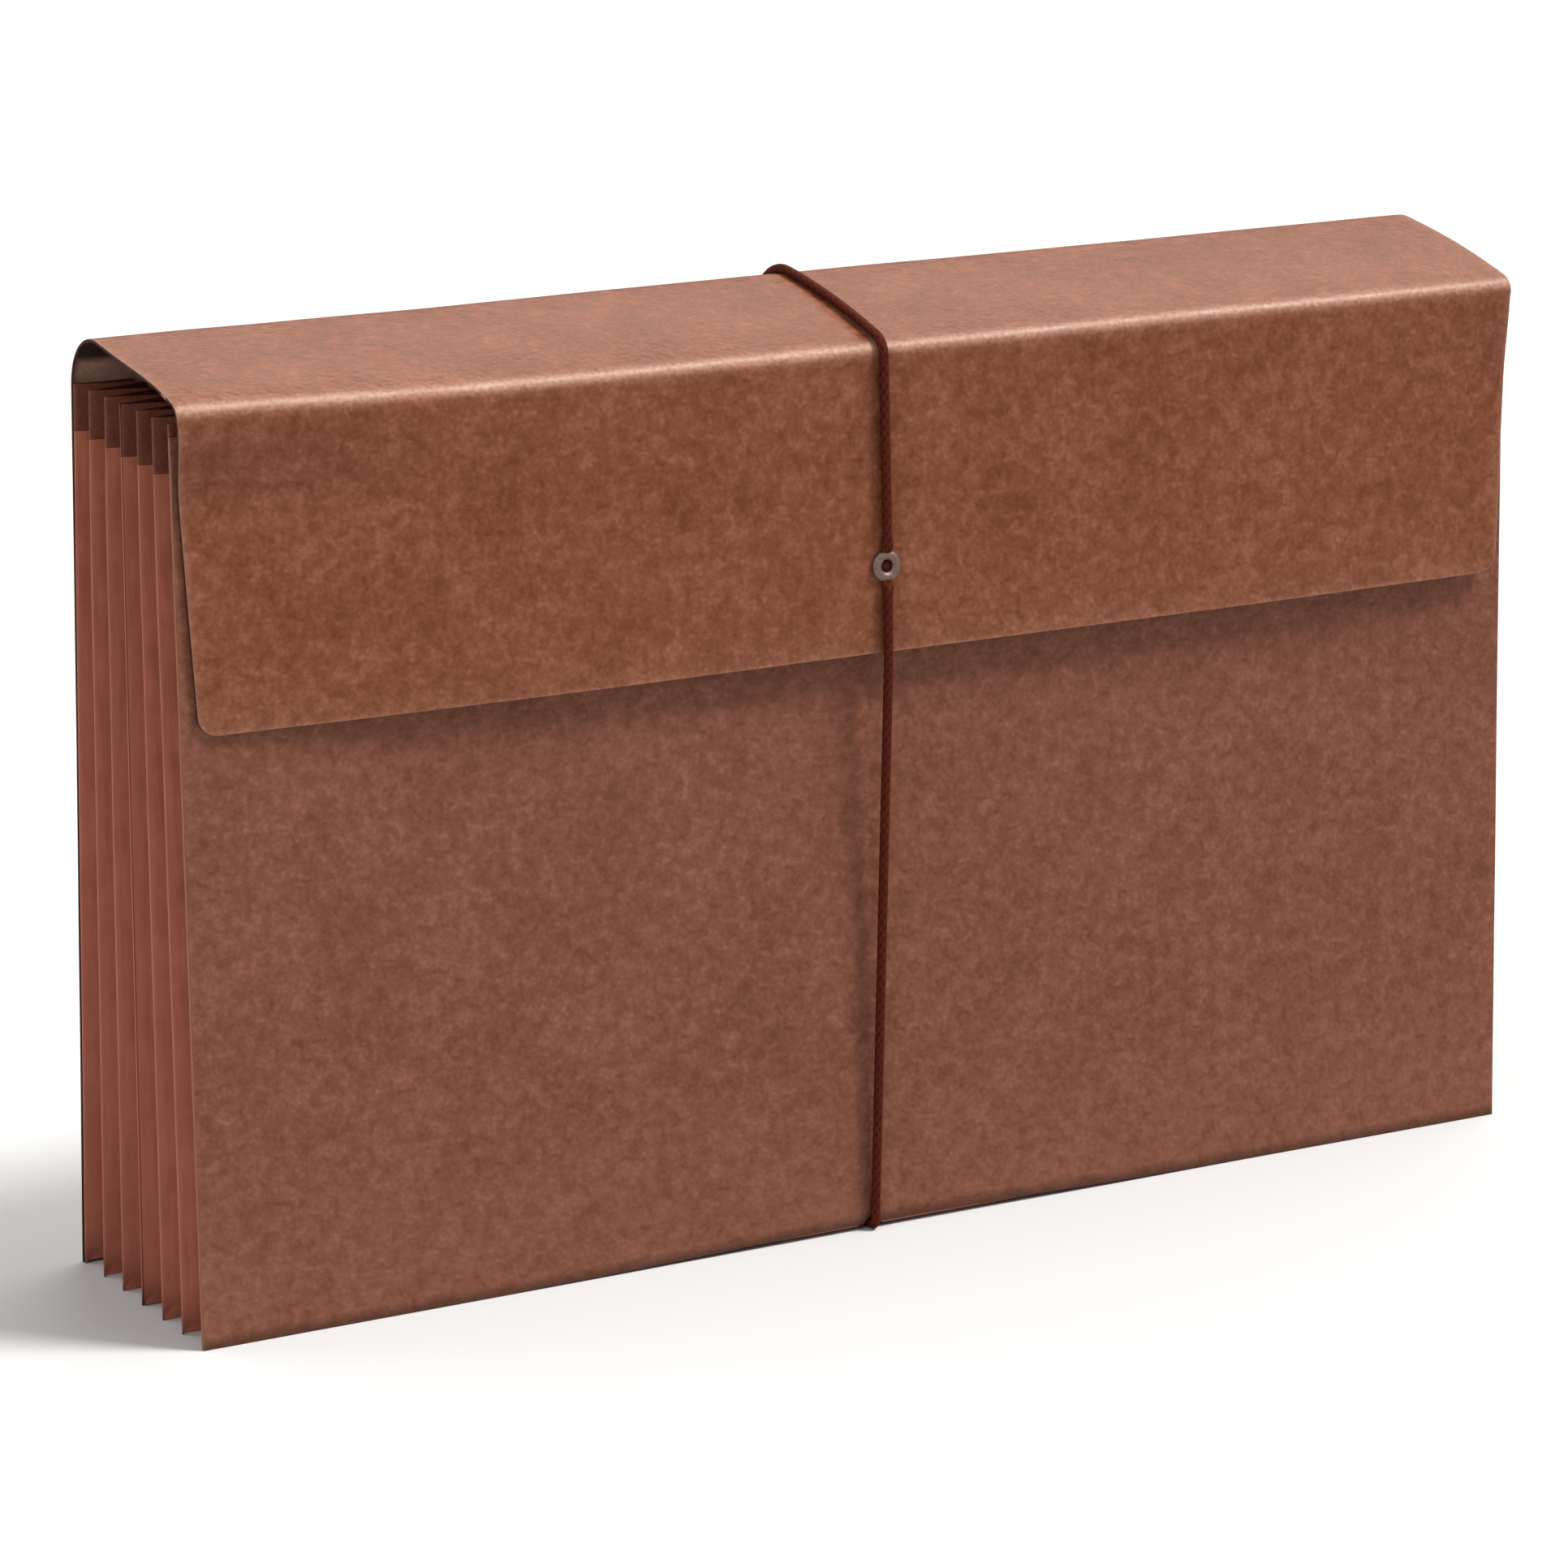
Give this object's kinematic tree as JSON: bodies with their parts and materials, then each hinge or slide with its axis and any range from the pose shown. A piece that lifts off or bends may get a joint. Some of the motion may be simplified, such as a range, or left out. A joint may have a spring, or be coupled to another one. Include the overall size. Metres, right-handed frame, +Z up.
{
  "type": "expanding file wallet",
  "caption": "Expanding file wallet: two boards with pleated paper gussets on the sides and bottom, a fold-over flap, and an elastic cord closure fixed in a metal eyelet.",
  "frame": {"origin": "middle of the footprint, on the surface the wallet stands on", "axes": "+Z up, +X along the width, the front with the flap faces -Y"},
  "size_m": [0.375, 0.078, 0.237],
  "materials": {
    "board": "leather-look embossed board, satin, red-brown",
    "gusset": "matt heavy paper, red-brown",
    "cord": "braided elastic cord, dark brown",
    "eyelet": "plated metal"
  },
  "bodies": {
    "back": {"back_panel": "board", "gusset_flange_back": "gusset", "cord_back": "cord", "cord_shoulder": "cord", "cord_bottom": "cord"},
    "front": {"front_panel": "board", "gusset_flange_front": "gusset", "cord_corner": "cord"},
    "flap_top": {"flap_top": "board", "cord_top": "cord", "cord_crease": "cord"},
    "flap_front": {"flap_front": "board", "eyelet": "eyelet", "cord_flap": "cord"},
    "cord_link": {"cord_knot": "cord", "cord_link": "cord"},
    "cord_strand": {"cord_front": "cord"},
    "left_01": {"left_pleat_01": "gusset"},
    "left_02": {"left_pleat_02": "gusset"},
    "left_03": {"left_pleat_03": "gusset"},
    "left_04": {"left_pleat_04": "gusset"},
    "left_05": {"left_pleat_05": "gusset"},
    "left_06": {"left_pleat_06": "gusset"},
    "left_12": {"left_pleat_12": "gusset"},
    "left_11": {"left_pleat_11": "gusset"},
    "left_10": {"left_pleat_10": "gusset"},
    "left_09": {"left_pleat_09": "gusset"},
    "left_08": {"left_pleat_08": "gusset"},
    "left_07": {"left_pleat_07": "gusset"},
    "right_01": {"right_pleat_01": "gusset"},
    "right_02": {"right_pleat_02": "gusset"},
    "right_03": {"right_pleat_03": "gusset"},
    "right_04": {"right_pleat_04": "gusset"},
    "right_05": {"right_pleat_05": "gusset"},
    "right_06": {"right_pleat_06": "gusset"},
    "right_12": {"right_pleat_12": "gusset"},
    "right_11": {"right_pleat_11": "gusset"},
    "right_10": {"right_pleat_10": "gusset"},
    "right_09": {"right_pleat_09": "gusset"},
    "right_08": {"right_pleat_08": "gusset"},
    "right_07": {"right_pleat_07": "gusset"},
    "bottom_01": {"bottom_pleat_01": "gusset"},
    "bottom_02": {"bottom_pleat_02": "gusset"},
    "bottom_03": {"bottom_pleat_03": "gusset"},
    "bottom_04": {"bottom_pleat_04": "gusset"},
    "bottom_05": {"bottom_pleat_05": "gusset"},
    "bottom_06": {"bottom_pleat_06": "gusset"},
    "bottom_12": {"bottom_pleat_12": "gusset"},
    "bottom_11": {"bottom_pleat_11": "gusset"},
    "bottom_10": {"bottom_pleat_10": "gusset"},
    "bottom_09": {"bottom_pleat_09": "gusset"},
    "bottom_08": {"bottom_pleat_08": "gusset"},
    "bottom_07": {"bottom_pleat_07": "gusset"}
  },
  "joints": [
    {"name": "expand", "type": "hinge", "parent": "back", "child": "front", "pos_m": [0, 0, 1], "axis": [-1, 0, 0], "range_deg": [-3.5, 0], "deforming": ["cord_front", "cord_bottom"]},
    {"name": "flap_open", "type": "hinge", "parent": "back", "child": "flap_top", "pos_m": [0, 0.02384, 0.23142], "axis": [-1, 0, 0], "range_deg": [0, 108], "deforming": ["cord_shoulder", "cord_crease", "cord_link"]},
    {"name": "flap_unfold", "type": "hinge", "parent": "flap_top", "child": "flap_front", "pos_m": [0, -0.0323, 0.22463], "axis": [-1, 0, 0], "range_deg": [0, 64]},
    {"name": "cord_swing", "type": "hinge", "parent": "flap_front", "child": "cord_link", "pos_m": [-0.001, -0.03524, 0.1702], "axis": [0, -1, 0], "range_deg": [0, 160]},
    {"name": "cord_lean", "type": "hinge", "parent": "cord_link", "child": "cord_strand", "pos_m": [-0.0014, -0.0378, 0.14774], "axis": [-1, 0, 0], "range_deg": [-24.3, 0]},
    {"name": "left_fold_01", "type": "hinge", "parent": "back", "child": "left_01", "pos_m": [-0.187, 0.0351, 0], "axis": [0, -0.0351, 0.9994], "range_deg": [0, 13.48]},
    {"name": "left_fold_02", "type": "hinge", "parent": "left_01", "child": "left_02", "pos_m": [-0.16578, 0.0293, 0], "axis": [-0.0212, -0.0293, 0.9993], "range_deg": [-26.95, 0]},
    {"name": "left_fold_03", "type": "hinge", "parent": "left_02", "child": "left_03", "pos_m": [-0.187, 0.0235, 0], "axis": [0, -0.0235, 0.9997], "range_deg": [0, 26.95]},
    {"name": "left_fold_04", "type": "hinge", "parent": "left_03", "child": "left_04", "pos_m": [-0.16578, 0.0177, 0], "axis": [-0.0212, -0.0177, 0.9996], "range_deg": [-26.95, 0]},
    {"name": "left_fold_05", "type": "hinge", "parent": "left_04", "child": "left_05", "pos_m": [-0.187, 0.0119, 0], "axis": [0, -0.0119, 0.9999], "range_deg": [0, 26.95]},
    {"name": "left_fold_06", "type": "hinge", "parent": "left_05", "child": "left_06", "pos_m": [-0.16578, 0.0061, 0], "axis": [-0.0212, -0.0061, 0.9998], "range_deg": [-26.95, 0]},
    {"name": "left_fold_12", "type": "hinge", "parent": "front", "child": "left_12", "pos_m": [-0.187, -0.0351, 0], "axis": [0, 0.0351, 0.9994], "range_deg": [-13.48, 0]},
    {"name": "left_fold_11", "type": "hinge", "parent": "left_12", "child": "left_11", "pos_m": [-0.16578, -0.0293, 0], "axis": [-0.0212, 0.0293, 0.9993], "range_deg": [0, 26.95]},
    {"name": "left_fold_10", "type": "hinge", "parent": "left_11", "child": "left_10", "pos_m": [-0.187, -0.0235, 0], "axis": [0, 0.0235, 0.9997], "range_deg": [-26.95, 0]},
    {"name": "left_fold_09", "type": "hinge", "parent": "left_10", "child": "left_09", "pos_m": [-0.16578, -0.0177, 0], "axis": [-0.0212, 0.0177, 0.9996], "range_deg": [0, 26.95]},
    {"name": "left_fold_08", "type": "hinge", "parent": "left_09", "child": "left_08", "pos_m": [-0.187, -0.0119, 0], "axis": [0, 0.0119, 0.9999], "range_deg": [-26.95, 0]},
    {"name": "left_fold_07", "type": "hinge", "parent": "left_08", "child": "left_07", "pos_m": [-0.16578, -0.0061, 0], "axis": [-0.0212, 0.0061, 0.9998], "range_deg": [0, 26.95]},
    {"name": "right_fold_01", "type": "hinge", "parent": "back", "child": "right_01", "pos_m": [0.187, 0.0351, 0], "axis": [0, -0.0351, 0.9994], "range_deg": [-13.48, 0]},
    {"name": "right_fold_02", "type": "hinge", "parent": "right_01", "child": "right_02", "pos_m": [0.16578, 0.0293, 0], "axis": [0.0212, -0.0293, 0.9993], "range_deg": [0, 26.95]},
    {"name": "right_fold_03", "type": "hinge", "parent": "right_02", "child": "right_03", "pos_m": [0.187, 0.0235, 0], "axis": [0, -0.0235, 0.9997], "range_deg": [-26.95, 0]},
    {"name": "right_fold_04", "type": "hinge", "parent": "right_03", "child": "right_04", "pos_m": [0.16578, 0.0177, 0], "axis": [0.0212, -0.0177, 0.9996], "range_deg": [0, 26.95]},
    {"name": "right_fold_05", "type": "hinge", "parent": "right_04", "child": "right_05", "pos_m": [0.187, 0.0119, 0], "axis": [0, -0.0119, 0.9999], "range_deg": [-26.95, 0]},
    {"name": "right_fold_06", "type": "hinge", "parent": "right_05", "child": "right_06", "pos_m": [0.16578, 0.0061, 0], "axis": [0.0212, -0.0061, 0.9998], "range_deg": [0, 26.95]},
    {"name": "right_fold_12", "type": "hinge", "parent": "front", "child": "right_12", "pos_m": [0.187, -0.0351, 0], "axis": [0, 0.0351, 0.9994], "range_deg": [0, 13.48]},
    {"name": "right_fold_11", "type": "hinge", "parent": "right_12", "child": "right_11", "pos_m": [0.16578, -0.0293, 0], "axis": [0.0212, 0.0293, 0.9993], "range_deg": [-26.95, 0]},
    {"name": "right_fold_10", "type": "hinge", "parent": "right_11", "child": "right_10", "pos_m": [0.187, -0.0235, 0], "axis": [0, 0.0235, 0.9997], "range_deg": [0, 26.95]},
    {"name": "right_fold_09", "type": "hinge", "parent": "right_10", "child": "right_09", "pos_m": [0.16578, -0.0177, 0], "axis": [0.0212, 0.0177, 0.9996], "range_deg": [-26.95, 0]},
    {"name": "right_fold_08", "type": "hinge", "parent": "right_09", "child": "right_08", "pos_m": [0.187, -0.0119, 0], "axis": [0, 0.0119, 0.9999], "range_deg": [0, 26.95]},
    {"name": "right_fold_07", "type": "hinge", "parent": "right_08", "child": "right_07", "pos_m": [0.16578, -0.0061, 0], "axis": [0.0212, 0.0061, 0.9998], "range_deg": [-26.95, 0]},
    {"name": "bottom_fold_01", "type": "hinge", "parent": "back", "child": "bottom_01", "pos_m": [0, 0.03506, 0.001], "axis": [1, 0, 0], "range_deg": [-13.33, 0]},
    {"name": "bottom_fold_02", "type": "hinge", "parent": "bottom_01", "child": "bottom_02", "pos_m": [0, 0.02866, 0.02177], "axis": [1, 0, 0], "range_deg": [0, 27.25]},
    {"name": "bottom_fold_03", "type": "hinge", "parent": "bottom_02", "child": "bottom_03", "pos_m": [0, 0.02348, 0.00066], "axis": [1, 0, 0], "range_deg": [-26.66, 0]},
    {"name": "bottom_fold_04", "type": "hinge", "parent": "bottom_03", "child": "bottom_04", "pos_m": [0, 0.01732, 0.0215], "axis": [1, 0, 0], "range_deg": [0, 27.25]},
    {"name": "bottom_fold_05", "type": "hinge", "parent": "bottom_04", "child": "bottom_05", "pos_m": [0, 0.01189, 0.00046], "axis": [1, 0, 0], "range_deg": [-26.66, 0]},
    {"name": "bottom_fold_06", "type": "hinge", "parent": "bottom_05", "child": "bottom_06", "pos_m": [0, 0.00597, 0.02137], "axis": [1, 0, 0], "range_deg": [0, 27.25]},
    {"name": "bottom_fold_12", "type": "hinge", "parent": "front", "child": "bottom_12", "pos_m": [0, -0.03506, 0.001], "axis": [1, 0, 0], "range_deg": [0, 13.33]},
    {"name": "bottom_fold_11", "type": "hinge", "parent": "bottom_12", "child": "bottom_11", "pos_m": [0, -0.02866, 0.02177], "axis": [1, 0, 0], "range_deg": [-27.25, 0]},
    {"name": "bottom_fold_10", "type": "hinge", "parent": "bottom_11", "child": "bottom_10", "pos_m": [0, -0.02348, 0.00066], "axis": [1, 0, 0], "range_deg": [0, 26.66]},
    {"name": "bottom_fold_09", "type": "hinge", "parent": "bottom_10", "child": "bottom_09", "pos_m": [0, -0.01732, 0.0215], "axis": [1, 0, 0], "range_deg": [-27.25, 0]},
    {"name": "bottom_fold_08", "type": "hinge", "parent": "bottom_09", "child": "bottom_08", "pos_m": [0, -0.01189, 0.00046], "axis": [1, 0, 0], "range_deg": [0, 26.66]},
    {"name": "bottom_fold_07", "type": "hinge", "parent": "bottom_08", "child": "bottom_07", "pos_m": [0, -0.00597, 0.02137], "axis": [1, 0, 0], "range_deg": [-27.25, 0]}
  ],
  "couplings": [
    {"joint": "flap_unfold", "follows": "flap_open", "ratio": 0.59259},
    {"joint": "cord_swing", "follows": "flap_open", "ratio": 1.4815},
    {"joint": "cord_lean", "follows": "expand", "ratio": 6.9429},
    {"joint": "left_fold_01", "follows": "expand", "ratio": -3.85},
    {"joint": "left_fold_02", "follows": "expand", "ratio": 7.7},
    {"joint": "left_fold_03", "follows": "expand", "ratio": -7.7},
    {"joint": "left_fold_04", "follows": "expand", "ratio": 7.7},
    {"joint": "left_fold_05", "follows": "expand", "ratio": -7.7},
    {"joint": "left_fold_06", "follows": "expand", "ratio": 7.7},
    {"joint": "left_fold_12", "follows": "expand", "ratio": 3.85},
    {"joint": "left_fold_11", "follows": "expand", "ratio": -7.7},
    {"joint": "left_fold_10", "follows": "expand", "ratio": 7.7},
    {"joint": "left_fold_09", "follows": "expand", "ratio": -7.7},
    {"joint": "left_fold_08", "follows": "expand", "ratio": 7.7},
    {"joint": "left_fold_07", "follows": "expand", "ratio": -7.7},
    {"joint": "right_fold_01", "follows": "expand", "ratio": 3.85},
    {"joint": "right_fold_02", "follows": "expand", "ratio": -7.7},
    {"joint": "right_fold_03", "follows": "expand", "ratio": 7.7},
    {"joint": "right_fold_04", "follows": "expand", "ratio": -7.7},
    {"joint": "right_fold_05", "follows": "expand", "ratio": 7.7},
    {"joint": "right_fold_06", "follows": "expand", "ratio": -7.7},
    {"joint": "right_fold_12", "follows": "expand", "ratio": -3.85},
    {"joint": "right_fold_11", "follows": "expand", "ratio": 7.7},
    {"joint": "right_fold_10", "follows": "expand", "ratio": -7.7},
    {"joint": "right_fold_09", "follows": "expand", "ratio": 7.7},
    {"joint": "right_fold_08", "follows": "expand", "ratio": -7.7},
    {"joint": "right_fold_07", "follows": "expand", "ratio": 7.7},
    {"joint": "bottom_fold_01", "follows": "expand", "ratio": 3.8083},
    {"joint": "bottom_fold_02", "follows": "expand", "ratio": -7.7833},
    {"joint": "bottom_fold_03", "follows": "expand", "ratio": 7.6167},
    {"joint": "bottom_fold_04", "follows": "expand", "ratio": -7.7833},
    {"joint": "bottom_fold_05", "follows": "expand", "ratio": 7.6167},
    {"joint": "bottom_fold_06", "follows": "expand", "ratio": -7.7833},
    {"joint": "bottom_fold_12", "follows": "expand", "ratio": -3.8083},
    {"joint": "bottom_fold_11", "follows": "expand", "ratio": 7.7833},
    {"joint": "bottom_fold_10", "follows": "expand", "ratio": -7.6167},
    {"joint": "bottom_fold_09", "follows": "expand", "ratio": 7.7833},
    {"joint": "bottom_fold_08", "follows": "expand", "ratio": -7.6167},
    {"joint": "bottom_fold_07", "follows": "expand", "ratio": 7.7833}
  ]
}
